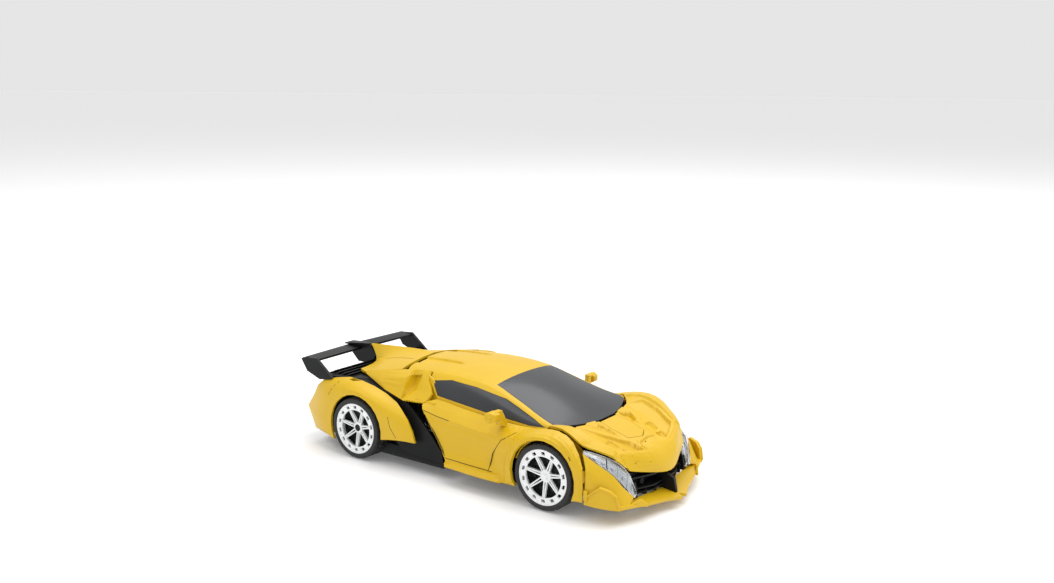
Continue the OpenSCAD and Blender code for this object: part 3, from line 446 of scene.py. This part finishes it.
def wheel(tyre_node, centre, side, body, tag):
    """All the pieces of one wheel; returns the rim."""
    low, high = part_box(tyre_node)
    radius = (high.z - low.z) / 2 / MM
    outer = (high.y if side > 0 else -low.y) / MM - side * centre.y / MM
    inner = (low.y if side > 0 else -high.y) / MM - side * centre.y / MM
    face = outer - 0.9

    bm = bmesh.new()
    add_tyre(bm, centre, side, radius, outer, inner)
    tyre = piece("tyre " + tag, bm, "tyre", body, bevel=0.12, limit=35)
    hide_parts(tyre_node)

    bm = bmesh.new()
    add_flange(bm, centre, side, face)
    barrel = [(BEAD + 0.2, face - 1.0), (BEAD + 0.2, inner), (BEAD - 0.8, inner), (BEAD - 0.8, face - 1.0)]
    lip = [
        (BEAD + 0.5, face + 0.3), (BEAD + 0.5, face - 0.4), (BEAD - 0.6, face - 0.4), (BEAD - 0.4, face + 0.3),
    ]
    hub = [(3.6, face - 4.2), (3.5, face - 2.4), (2.9, face - 1.9), (0.9, face - 1.9), (0.9, face - 4.2)]
    for profile, steps in ((barrel, 96), (lip, 96), (hub, 48)):
        add_lathe(bm, centre, [(r, y * side) for r, y in profile], steps)
    add_spokes(bm, centre, side, face)
    rim = piece("rim " + tag, bm, "white_plastic", body, bevel=0.12, limit=35)

    bm = bmesh.new()
    disc = [
        (BEAD - 0.7, face - 5.2), (4.0, face - 4.4), (0.0001, face - 4.4), (0.0001, face - 6.0),
        (BEAD - 0.7, face - 6.0),
    ]
    add_lathe(bm, centre, [(r, y * side) for r, y in disc], 72, closed=False)
    for n in range(SPOKE_PAIRS):
        spot = turned(8.4, 2 * math.pi * (n + 0.75) / SPOKE_PAIRS, (face - 4.4) * side)
        add_tube(bm, centre + spot * MM, (0, side, 0), 1.2, 1.4, 12)
    piece("rim backing " + tag, bm, "black_plastic", body, bevel=0.1)

    bm = bmesh.new()
    nut = centre + Vector((0, (face - 2.2) * side, 0)) * MM
    if "front" in tag:
        add_tube(bm, nut, (0, side, 0), 2.0, 1.5, 6)
        add_tube(bm, nut + Vector((0, side * 0.7, 0)) * MM, (0, side, 0), 1.2, 0.8, 24)
        piece("hub cap " + tag, bm, "white_plastic", body, bevel=0.1)
    else:
        add_tube(bm, nut, (0, side, 0), 2.1, 0.9, 24)
        piece("axle end " + tag, bm, "black_plastic", body, bevel=0.1)
    return rim


for word, side in OUT.items():
    joint = JOINTS["front_%s_spin" % word]
    rim = wheel("tyre_front_" + word, Vector(joint["pos_m"]), side, joint["child"], "front " + word)
    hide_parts("rim_front_" + word)
rear = JOINTS["rear_spin"]
for word, side in OUT.items():
    centre = Vector(rear["pos_m"])
    centre.y = 0.0
    rim = wheel("tyre_rear_" + word, centre, side, rear["child"], "rear " + word)
    if side > 0:
        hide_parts("rims_rear")
bm = bmesh.new()
low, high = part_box("rims_rear")
add_tube(bm, Vector(rear["pos_m"]), (0, 1, 0), 1.6, (high.y - low.y) / MM - 8, 24)
piece("rear axle", bm, "metal", rear["child"], bevel=0)

# ---- Body panels ----

HOOD_AREAS = [
    # sunken wedge that deepens towards the nose
    ([(70, 27), (84, 20.5), (96, 10.6), (101, 9.4), (106.4, 11.6), (100, 30), (90, 34), (78, 35)],
     ((72, -0.5), (103, -2.6)), 0.9),
    # nose ahead of the wedges, and the ridges outside and inside them
    ([(101.6, -1), (102.4, 9.4), (108, 11.8), (102, 31.4), (119, 31.4), (119, -1)], 1.2, 0.8),
    ([(60, 34), (78, 36.4), (90, 35.4), (101, 31.4), (104, 38), (90, 47), (60, 47)], 1.1, 1.0),
    ([(70, 11.4), (70, 20), (80, 19), (91.5, 11.4)], 1.0, 0.8),
    ([(98.6, -1), (98.6, 8.4), (101.4, 8.6), (101.4, -1)], 1.0, 0.8),
    # three notches
    ([(76.4, 11), (86, 10.6), (87.4, 13), (80, 17.6)], -2.2, 0.8),
    ([(88, 18.4), (94.6, 17), (95.4, 23.6), (89.4, 24.6)], -1.2, 0.7),
    ([(96.4, 17.4), (101.4, 15.6), (102.4, 20.8), (97.6, 23)], -1.2, 0.7),
]
ROOF_AREAS = [([(-48, 9), (-18, 11), (-14, 14), (-18, 15.6), (-48, 20)], -1.2, 0.9)]
FROM_ABOVE, FROM_THE_SIDE = (0, 1), (0, 2)
sculpt("hood_panel", "yellow_paint", "nose", HOOD_AREAS, FROM_ABOVE, UPWARD, fine=0.9)
sculpt("nose_frame", "black_plastic", "nose", [], FROM_ABOVE, UPWARD, fine=3.0, top=(84, 30.0))
sculpt("cabin_shell", "yellow_paint", "torso", ROOF_AREAS, FROM_ABOVE, UPWARD, fine=1.4)


def ring(inner, outer, start, end, steps=24):
    """An outline in x and z of part of a ring about the front axle, in datum millimetres."""
    turns = [math.radians(start + (end - start) * i / steps) for i in range(steps + 1)]
    there = [(AXLE_X + inner * math.cos(a), AXLE_Z + inner * math.sin(a)) for a in turns]
    back = [(AXLE_X + outer * math.cos(a), AXLE_Z + outer * math.sin(a)) for a in turns[::-1]]
    return there + back


DOOR_AREAS = [
    # raised lip round the wheel arch, pressed-in door, and skirt step
    (ring(19, 26.2, 200, -30), 0.8, 0.9),
    ([(-9, 17.6), (36, 17.6), (34, 33), (28, 35.6), (-14, 38.6)], -0.5, 2.4),
    ([(-2, 10), (-1, 15), (10, 15.8), (38, 15.8), (44, 10)], 1.7, 0.9),
]
INTAKE_AREAS = [([(-39.4, 42), (-38.6, 54.6), (-30.6, 56.4), (-31.8, 48)], -2.2, 0.8)]
for word, side in OUT.items():
    hand, way = "hand_" + word, (0, side, 0)
    sculpt("side_panel_" + word, "yellow_paint", hand, DOOR_AREAS, FROM_THE_SIDE, way)
    sculpt("shoulder_" + word, "yellow_paint", hand, INTAKE_AREAS, FROM_THE_SIDE, way, fine=0.9)

# ---- Carried-over CAD nodes: material and rounded edges ----

SLOT_OF = {entry["node"]: entry["material_slot"] for entry in RECORD["subparts"]}
HARD_EDGES = {"windshield": 0.15, "side_windows": 0.12, "headlight_lenses": 0.1, "headlight_bezels": 0.1}
for name, obj in NODES.items():
    if obj.hide_render:
        continue
    look = LOOKS[SLOT_OF[name]]
    if obj.material_slots:
        for spot in obj.material_slots:
            spot.link = "OBJECT"
            spot.material = look
    else:
        obj.data.materials.append(look)
    bevelled(obj, HARD_EDGES.get(name, 0.3))

# ---- Seams and panel lines ----

for word, side in OUT.items():
    door = ["side_panel_" + word]
    seams("door seams " + word, door, [
        [(-17.5, 48 * side, 38.3), (-9, 48 * side, 28), (-1, 49 * side, 17.4)],
        [(-1, 49 * side, 16.6), (14, 49 * side, 16.2), (33.5, 50 * side, 16)],
        [(30.6, 50 * side, 16), (32.6, 50 * side, 26), (38, 50 * side, 34.4), (46, 48 * side, 39.6)],
        [(-20.4, 47 * side, 40.6), (-10, 47 * side, 38.6), (0, 47 * side, 37.6)],
    ], (0, -side, 0), "hand_" + word, width=0.35)
    seams("fender seams " + word, ["rear_fenders"], [
        [(-84, 44 * side, 47.2), (-88, 46 * side, 43), (-91, 48 * side, 37.6)],
        [(-36, 50 * side, 21.6), (-40.4, 50 * side, 27), (-42.4, 48 * side, 33)],
    ], (0, -side, 0), "chassis", width=0.3)
seams("deck seams", ["rear_deck"], [
    [(-54, -14, 60), (-80, -11, 56)], [(-54, 14, 60), (-80, 11, 56)],
], DOWN, "chassis", width=0.3)

# ---- Mirror heads on the stalks above the doors, and the raised edges of the canards ----

MIRROR_RINGS = [  # x, inner and outer y, low and high z
    (30.8, 46.6, 53.4, 44.6, 49.6), (34, 46.4, 53.7, 44.2, 50.4), (37.4, 47.4, 51.6, 45.8, 49.2),
]
CANARD_EDGES = [  # x and z
    [(93.6, 15.4), (98, 19.2), (102.2, 22.6), (107.6, 21.2), (110.4, 18.6)],
    [(110.4, 18.6), (111.4, 14.6), (112, 12.2)],
]
for word, side in OUT.items():
    bm = bmesh.new()
    rings = []
    for x, near, far, low, high in MIRROR_RINGS:
        corners = ((near, low), (far, low), (far, high), (near, high))
        rings.append([(x, y * side, z) for y, z in corners])
    add_loft(bm, rings)
    piece("mirror head " + word, bm, "yellow_paint", "hand_" + word, bevel=0.7)
    bm = bmesh.new()
    for path in CANARD_EDGES:
        add_strip(bm, ["splitter"], [(x, 48 * side, z) for x, z in path], (0, -side, 0), 1.0, 0.7, step=0.8)
    piece("canard edges " + word, bm, "yellow_paint", "nose", bevel=0.15)

# ---- Lip on the front edge of each fender, which leaves a thin seam to the bumper cheek ----


def first_hit(node, side, z, stations):
    """The first of some x stations where the node is met from the side, with its half width."""
    for x in stations:
        hit = drop([node], at(x, 70 * side, z), (0, -side, 0))
        if hit and side * (hit[0] - DATUM).y > 36 * MM:
            return x, side * (hit[0] - DATUM).y / MM
    return None


SEAM_GAP = 0.5
SEARCH_STEPS = [0.2 * k for k in range(120)]
for word, side in OUT.items():
    rings = []
    for z in range(9, 42):
        rear_edge = first_hit("side_panel_" + word, side, z, [104 - step for step in SEARCH_STEPS])
        front_edge = first_hit("bumper_shell", side, z, [80 + step for step in SEARCH_STEPS])
        if not rear_edge or not front_edge:
            continue
        (x1, y1), (x2, y2) = rear_edge, front_edge
        if not SEAM_GAP + 0.2 < x2 - x1 < 4:
            continue
        x1, x2 = x1 - 0.8, x2 - SEAM_GAP
        corners = ((x1, y1 - 1.1), (x1, y1 - 0.1), (x2, y2 - 0.2), (x2, y2 - 1.2))
        rings.append([(x, y * side, z) for x, y in corners])
    bm = bmesh.new()
    add_loft(bm, rings)
    piece("fender lip " + word, bm, "yellow_paint", "hand_" + word, bevel=0.1)

# ---- Headlights: reflector cups, lamps, stays and ribs behind each lens ----

LAMPS = [  # x, y, z and radius
    (94.4, 42.6, 35.2, 0.9), (98.6, 40.4, 33, 1.2), (103, 37.6, 29.8, 1.5), (107.2, 34, 24.8, 1.5),
]
STAYS = [((92.4, 44.4, 36), (95.8, 43.4, 34.2)), ((99.2, 38.6, 34.4), (101.8, 41.6, 29.4))]
RIBS = [
    ((103.8, 34.8, 31.4), (106.4, 38.6, 25)), ((107.6, 31.2, 25.8), (109.6, 34.8, 19.4)),
    ((109.4, 29.8, 21.6), (110.8, 33, 16.6)),
]
for word, side in OUT.items():
    inwards = (-0.6, -0.6 * side, -0.55)
    cups, lamps = bmesh.new(), bmesh.new()
    for x, y, z, r in LAMPS:
        hit = drop(["headlight_bezels"], at(x, y * side, z), inwards)
        if hit is None:
            continue
        spot, normal, _ = hit
        add_tube(cups, spot + normal * 0.25 * MM, normal, r * 0.8, 0.7, 20, top=r)
        add_tube(lamps, spot + normal * 0.65 * MM, normal, r * 0.45, 0.25, 16, top=r * 0.3)
    piece("lamp cups " + word, cups, "silver_paint", "nose", bevel=0.08)
    for name, lines, slot in (("lamp stays ", STAYS, "black_plastic"), ("lamp ribs ", RIBS, "silver_paint")):
        bm = bmesh.new()
        for line in lines:
            path = [(x, y * side, z) for x, y, z in line]
            add_strip(bm, ["headlight_bezels"], path, inwards, 0.35, 0.35, step=0.9)
        piece(name + word, bm, slot, "nose", bevel=0)
    piece("lamps " + word, lamps, "white_plastic", "nose", bevel=0.05)

# ---- Grille: mesh behind the bars, and a post at each end ----

bm = bmesh.new()
for level in range(5):
    z = 16.6 + level * 1.5
    for k in range(-11, 12):
        y = k * 2.2 + (1.1 if level % 2 else 0)
        if abs(y) > 25 - level * 0.4:
            continue
        add_tube(bm, at(106.3, y, z), (1, 0, 0), 1.0, 0.5, 6, top=0.72)
piece("grille mesh", bm, "black_plastic", "nose", bevel=0)
bm = bmesh.new()
for s in (-1, 1):
    rings = []
    for x, near, far, z in ((108.6, 25.6, 29.2, 11.8), (108.2, 25.6, 28.8, 16), (107.4, 26, 28.4, 20)):
        rings.append([(x, s * near, z), (x, s * far, z), (x + 2.2, s * far, z), (x + 2.2, s * near, z)])
    add_loft(bm, rings)
piece("grille end posts", bm, "black_plastic", "nose", bevel=0.2)

# ---- Robot head ----

# The head is face down at rest: +X is the top of the head and -Z the front of the face.
# Each part is half of an outline in x and y, and its z range.
FACE = {
    "black_plastic": [
        ([(85.7, 0), (85.9, 4.5), (88.3, 4.7), (87.8, 0)], 24.5, 25.4),
        ([(82.6, 0), (82.6, 2.2), (84.3, 3.1), (84.3, 0)], 24.5, 25.4),
    ],
    "silver_paint": [
        ([(84.4, 0), (84.7, 0.8), (87.6, 0.4), (88.1, 0)], 24.0, 25.0),
        ([(82.4, 4.5), (86.3, 4.9), (86.5, 6.3), (84.6, 6.5), (82.4, 5.6)], 24.7, 26.4),
        ([(81.6, 0), (81.6, 2.0), (82.5, 2.6), (82.5, 0)], 24.6, 26.0),
        ([(82.8, 0.7), (82.8, 1.1), (84.1, 1.3), (84.1, 0.9)], 24.3, 24.7),
    ],
    "gold_paint": [
        ([(88.4, 0), (88.9, 4.4), (89.9, 4.6), (89.8, 0)], 24.9, 26.2),
        ([(90.2, 0), (90.4, 1.4), (90.9, 0.9), (91.0, 0)], 25.8, 30.0),
        ([(86.6, 6.8), (88.4, 7.0), (89.0, 7.8), (86.8, 7.9)], 26.6, 28.2),
    ],
    "white_plastic": [([(86.5, 1.0), (86.3, 3.7), (87.3, 4.1), (87.2, 1.2)], 24.25, 24.6)],
}
for look, parts in FACE.items():
    bm = bmesh.new()
    for outline, low_z, high_z in parts:
        for s in (-1, 1):
            add_loft(bm, [[(x, y * s, z) for x, y in outline] for z in (low_z, high_z)])
    piece("face " + look, bm, look, "head", bevel=0.12)
bm = bmesh.new()
for s in (-1, 1):
    add_tube(bm, at(84.6, 8.8 * s, 30.6), (0, s, 0), 2.2, 0.6, 24, top=1.6)
piece("ear discs", bm, "silver_paint", "head", bevel=0.1)

# ---- Pillar behind each side window, under the shoulder's front edge ----

PILLAR = [(-14.6, 43.4), (-13.6, 46.8), (-20.6, 54.4), (-25.4, 57), (-30, 56), (-30, 44), (-24, 42.6)]
for word, side in reversed(OUT.items()):
    bm = bmesh.new()
    add_loft(bm, [
        [(x, side * (37.6 - depth - 0.36 * (z - 44)), z) for x, z in PILLAR] for depth in (0, 1.2)
    ])
    piece("window pillar " + word, bm, "yellow_paint", "torso", bevel=0.2)

# ---- Liner over each front wheel ----

LINER = [(19.4, 36.6), (19.4, 49.2), (20.3, 49.2), (20.3, 37.4), (21.0, 37.4), (21.0, 36.6)]  # radius and y
LINER_TURNS = [math.radians(-16 + 178 * k / 36) for k in range(37)]
for word, side in OUT.items():
    bm = bmesh.new()
    add_loft(bm, [
        [(AXLE_X + r * math.cos(a), y * side, AXLE_Z + r * math.sin(a)) for r, y in LINER] for a in LINER_TURNS
    ])
    piece("wheel liner " + word, bm, "yellow_paint", "hand_" + word, bevel=0.15)

# ---- Battery door screws ----

bm = bmesh.new()
low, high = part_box("battery_door")
for x in (low.x + 2.2 * MM, high.x - 2.2 * MM):
    add_tube(bm, Vector((x, 0, low.z + 0.2 * MM)), DOWN, 1.1, 0.9, 20, top=0.935)
piece("battery door screws", bm, "metal", "chassis", bevel=0.08)

# ---- Chest: bolts and studs on the spine and belt plates, grooves on the gold plates ----

bolts, studs = bmesh.new(), bmesh.new()
CHEST_BOLTS = [
    (-20, 0, 23.5), (-2, 0, 23.5), (-20, 7.6, 25.1), (2, 8.6, 25.1), (-36, 0, 23.7), (-29.4, 12.6, 25.3),
    (-24, 26.4, 25.3), (-35, 29, 25.3),
]
for x, y, z in CHEST_BOLTS:
    for s in ((1, -1) if y else (1,)):
        add_tube(bolts, at(x, y * s, z), DOWN, 1.1, 0.7, 20, top=0.9)
        add_tube(bolts, at(x, y * s, z - 0.3), DOWN, 0.5, 0.5, 6)
for x in (-15.5, -7):
    for s in (-1, 1):
        add_tube(studs, at(x, 2.1 * s, 23.4), DOWN, 1.3, 0.6, 3, top=0.5)
add_tube(studs, at(-36, 0, 23.7), DOWN, 3.0, 0.5, 6, top=2.6)
piece("chest bolts", bolts, "metal", "torso", bevel=0.08)
piece("chest studs", studs, "silver_paint", "torso", bevel=0.12)
grooves = []
for s in (-1, 1):
    for k in range(3):
        grooves.append([(-14.6 + 9 * k, 13.6 * s, 24), (-9 + 9 * k, (26 + k) * s, 24)])
    grooves.append([(-34, 14.6 * s, 24), (-31, 14 * s, 24), (-26.8, 17.4 * s, 24), (-25, 22.6 * s, 24),
                    (-27.6, 25.4 * s, 24), (-31.6, 25 * s, 24), (-34.4, 19 * s, 24), (-34, 14.6 * s, 24)])
seams("plate grooves", ["rib_plates", "belt_pads"], grooves, UPWARD, "torso", width=0.45)
SPINE_OUTLINE = [
    (-22, -7), (-22, 7), (-17.4, 9.4), (-12, 7), (-7, 7), (-2.4, 9.8), (4, 9.8), (6.4, 7), (6.4, -7), (4, -9.8),
    (-2.4, -9.8), (-7, -7), (-12, -7), (-17.4, -9.4), (-22, -7),
]
seams("spine grooves", ["spine_plate"], [[(x, y, 20) for x, y in SPINE_OUTLINE]], UPWARD, "torso", width=0.3)

# ---- Legs: cover over the lift gears, with its bolts and a hose-like rib on each side ----

cover, fixings = bmesh.new(), bmesh.new()
add_box(cover, (-20, -1), (-8, 8), (16, 18.6))
add_box(cover, (-17, -4), (-5.6, 5.6), (18.4, 20.4))
for s in (-1, 1):
    add_box(cover, (-21, 1), sorted((9 * s, 11.6 * s)), (16, 19.4))
    for x in (-17, -12.4, -7.8, -3.2):
        add_box(cover, (x - 0.9, x + 0.9), sorted((8.4 * s, 11.9 * s)), (19, 20.2))
    for x in (-18.6, -2.4):
        add_tube(fixings, at(x, 6.7 * s, 18.8), UPWARD, 0.95, 0.7, 20)
    for x in (-33, 7):
        add_tube(fixings, at(x, 22.4 * s, 24.2), UPWARD, 1.0, 0.6, 20, top=0.85)
piece("gear cover", cover, "black_plastic", "legs", bevel=0.35)
piece("leg bolts", fixings, "metal", "legs", bevel=0.08)
lines = [[(x, near * s, 26), (x - 2, far * s, 26)] for near, far in ((14.6, 17.6), (26.2, 30))
         for s in (-1, 1) for x in (-24, -12, 0)]
seams("thigh lines", ["thigh_plates"], lines, DOWN, "legs", width=0.4)

# ---- Feet: shoe ridges and a lid line on the foot box ----

ridges = bmesh.new()
for s in (-1, 1):
    for k in range(4):
        x = 66 + 3.4 * k
        add_strip(ridges, ["shoes"], [(x, 13 * s, 16), (x + 0.6, 22 * s, 16)], DOWN, 0.9, 0.5)
piece("shoe ridges", ridges, "black_plastic", "chassis", bevel=0.1)
seams("foot box lines", ["foot_box"], [
    [(38, -17, 24), (38, 17, 24)], [(54.6, -17, 24), (54.6, 17, 24)],
    [(38, -17, 24), (54.6, -17, 24)], [(38, 17, 24), (54.6, 17, 24)],
], DOWN, "chassis", width=0.35, slot="metal")

# ---- Drive motors, lift motor, board and rear end ----

caps, tabs = bmesh.new(), bmesh.new()
for s in (-1, 1):
    add_tube(caps, at(-100.6, 14 * s, 20), (-1, 0, 0), 8.2, 1.4, 40, top=7.4)
    add_tube(caps, at(-101.6, 14 * s, 20), (-1, 0, 0), 2.6, 1.0, 24)
    for z in (15.4, 24.6):
        add_box(tabs, (-102.2, -100.4), sorted((12.9 * s, 15.1 * s)), (z - 0.25, z + 0.25))
piece("motor caps", caps, "black_plastic", "chassis", bevel=0.2)
piece("motor tabs", tabs, "metal", "chassis", bevel=0.05)
caps, tabs = bmesh.new(), bmesh.new()
add_tube(caps, at(-36, -15.4, 38), (0, -1, 0), 7.2, 1.2, 40, top=6.6)
for z in (34.6, 41.4):
    add_box(tabs, (-36.9, -35.1), (-17, -15.6), (z - 0.25, z + 0.25))
piece("lift motor cap", caps, "black_plastic", "torso", bevel=0.2)
piece("lift motor tabs", tabs, "metal", "torso", bevel=0.05)

BOARD_TOP = 33.6
CHIPS = [  # middle x and y, length, width and height
    (-17, -10, 5, 4, 1.2), (4.6, -11.6, 4, 3, 1), (-4, 11, 6, 4, 1.4), (17.4, 8, 4, 5, 1.2),
    (17, -12.4, 3, 2.4, 1),
]
chips, pads, cans = bmesh.new(), bmesh.new(), bmesh.new()
for x, y, w, d, h in CHIPS:
    add_box(chips, (x - w / 2, x + w / 2), (y - d / 2, y + d / 2), (BOARD_TOP, BOARD_TOP + h))
    for k in range(4):
        pad_x = x - w / 2 + w * (k + 0.5) / 4
        for s in (-1, 1):
            pad_y = y + s * (d / 2 + 0.4)
            across, along = (pad_x - 0.25, pad_x + 0.25), (pad_y - 0.45, pad_y + 0.45)
            add_box(pads, across, along, (BOARD_TOP, BOARD_TOP + 0.3))
for x, y, r in ((-12, -1, 1.8), (8, 6.6, 2.0), (12.6, 1.6, 1.4), (-19, -3.4, 1.3)):
    add_tube(cans, at(x, y, 35.2), UPWARD, r, 3.2, 24)
piece("board chips", chips, "black_plastic", "torso", bevel=0.1)
piece("board pads", pads, "metal", "torso", bevel=0)
piece("board capacitors", cans, "metal", "torso", bevel=0.15)

tips, slats = bmesh.new(), bmesh.new()
for s in (-1, 1):
    add_tube(tips, at(-112.6, 8 * s, 18.5), (-1, 0, 0), 3.9, 2.6, 40, top=4.2)
    add_tube(slats, at(-113.86, 8 * s, 18.5), (-1, 0, 0), 3.1, 0.2, 32)
for k in range(4):
    z = 36.4 + 1.5 * k
    add_box(slats, (-111.8 + 0.5 * k, -108.6), (-23.4, 23.4), (z, z + 0.55))
piece("exhaust tips", tips, "metal", "chassis", bevel=0.2)
piece("rear slats", slats, "black_plastic", "chassis", bevel=0.1)
lines = [[(-125, y * s, z) for z in (28.2, 32.4)] for s in (-1, 1) for y in (16.4, 20.8, 25.2, 29.6)]
seams("tail light bars", ["tail_lights"], lines, (1, 0, 0), "chassis", width=0.5)

# ---- Arms: pivot caps; and the small lug that closes the seam behind each front wheel ----

for word, side in OUT.items():
    caps = bmesh.new()
    for x in (39, 89):
        for z in (13.9, 30.1):
            add_tube(caps, at(x, 29 * side, z), UPWARD, 2.6, 0.5, 24, top=2.6)
    piece("pivot caps " + word, caps, "metal", "arm_" + word, bevel=0.1)
    lug = bmesh.new()
    add_box(lug, (93.2, 95.6), sorted((49.8 * side, 51.4 * side)), (14.4, 19.8))
    piece("seam lug " + word, lug, "yellow_paint", "nose", bevel=0.3)

# ---- Studio: a pale floor, a bright sky, three softboxes and the fitted camera ----

FLOOR_SIZE, FLOOR_GAP = 40, 0.0002
SKY = 0.79

bpy.context.scene.view_settings.view_transform = "Standard"
low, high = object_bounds()
bpy.ops.mesh.primitive_plane_add(size=FLOOR_SIZE, location=(0, 0, low.z - FLOOR_GAP))
floor = bpy.context.object
floor.name = "floor"
floor_look = bpy.data.materials.new("floor")
floor_look.use_nodes = True
floor_shader = floor_look.node_tree.nodes["Principled BSDF"]
floor_shader.inputs["Base Color"].default_value = (0.86, 0.86, 0.86, 1)
floor_shader.inputs["Roughness"].default_value = 0.6
floor_shader.inputs["Emission Color"].default_value = (1, 1, 1, 1)
floor_shader.inputs["Emission Strength"].default_value = 0.1
floor.data.materials.append(floor_look)

world = bpy.data.worlds.new("studio") if bpy.context.scene.world is None else bpy.context.scene.world
bpy.context.scene.world = world
world.use_nodes = True
world.node_tree.nodes["Background"].inputs["Color"].default_value = (1.0, 1.0, 1.0, 1)
world.node_tree.nodes["Background"].inputs["Strength"].default_value = SKY


def softbox(name, place, power, width, height):
    """A rectangular light in watts and metres that faces the toy."""
    lamp = bpy.data.lights.new(name, "AREA")
    lamp.shape = "RECTANGLE"
    lamp.size, lamp.size_y = width, height
    lamp.energy = power
    obj = bpy.data.objects.new(name, lamp)
    bpy.context.scene.collection.objects.link(obj)
    obj.location = place
    obj.rotation_mode = "QUATERNION"
    obj.rotation_quaternion = (-Vector(place)).to_track_quat("-Z", "Y")


softbox("key", (-0.5, -0.8, 1.2), 2.6, 0.7, 0.5)
softbox("top", (0.15, 0.5, 1.7), 31.0, 2.2, 1.8)
softbox("front fill", (1.2, -0.5, 0.5), 0.5, 0.7, 0.7)

# Camera fitted to the photograph
EYE = (0.37345, -0.49624, 0.22221)
forward = Vector((-0.57018, 0.79928, -0.18985)).normalized()
right = forward.cross(Vector((-0.11694, 0.14978, 0.98178))).normalized()
up = right.cross(forward)
camera = bpy.data.cameras.new("camera")
camera.lens = 37.06
camera.sensor_width = 36.0
camera.clip_start, camera.clip_end = 0.01, 20.0
eye = bpy.data.objects.new("camera", camera)
bpy.context.scene.collection.objects.link(eye)
eye.matrix_world = Matrix.Translation(EYE) @ Matrix((right, up, -forward)).transposed().to_4x4()
bpy.context.scene.camera = eye
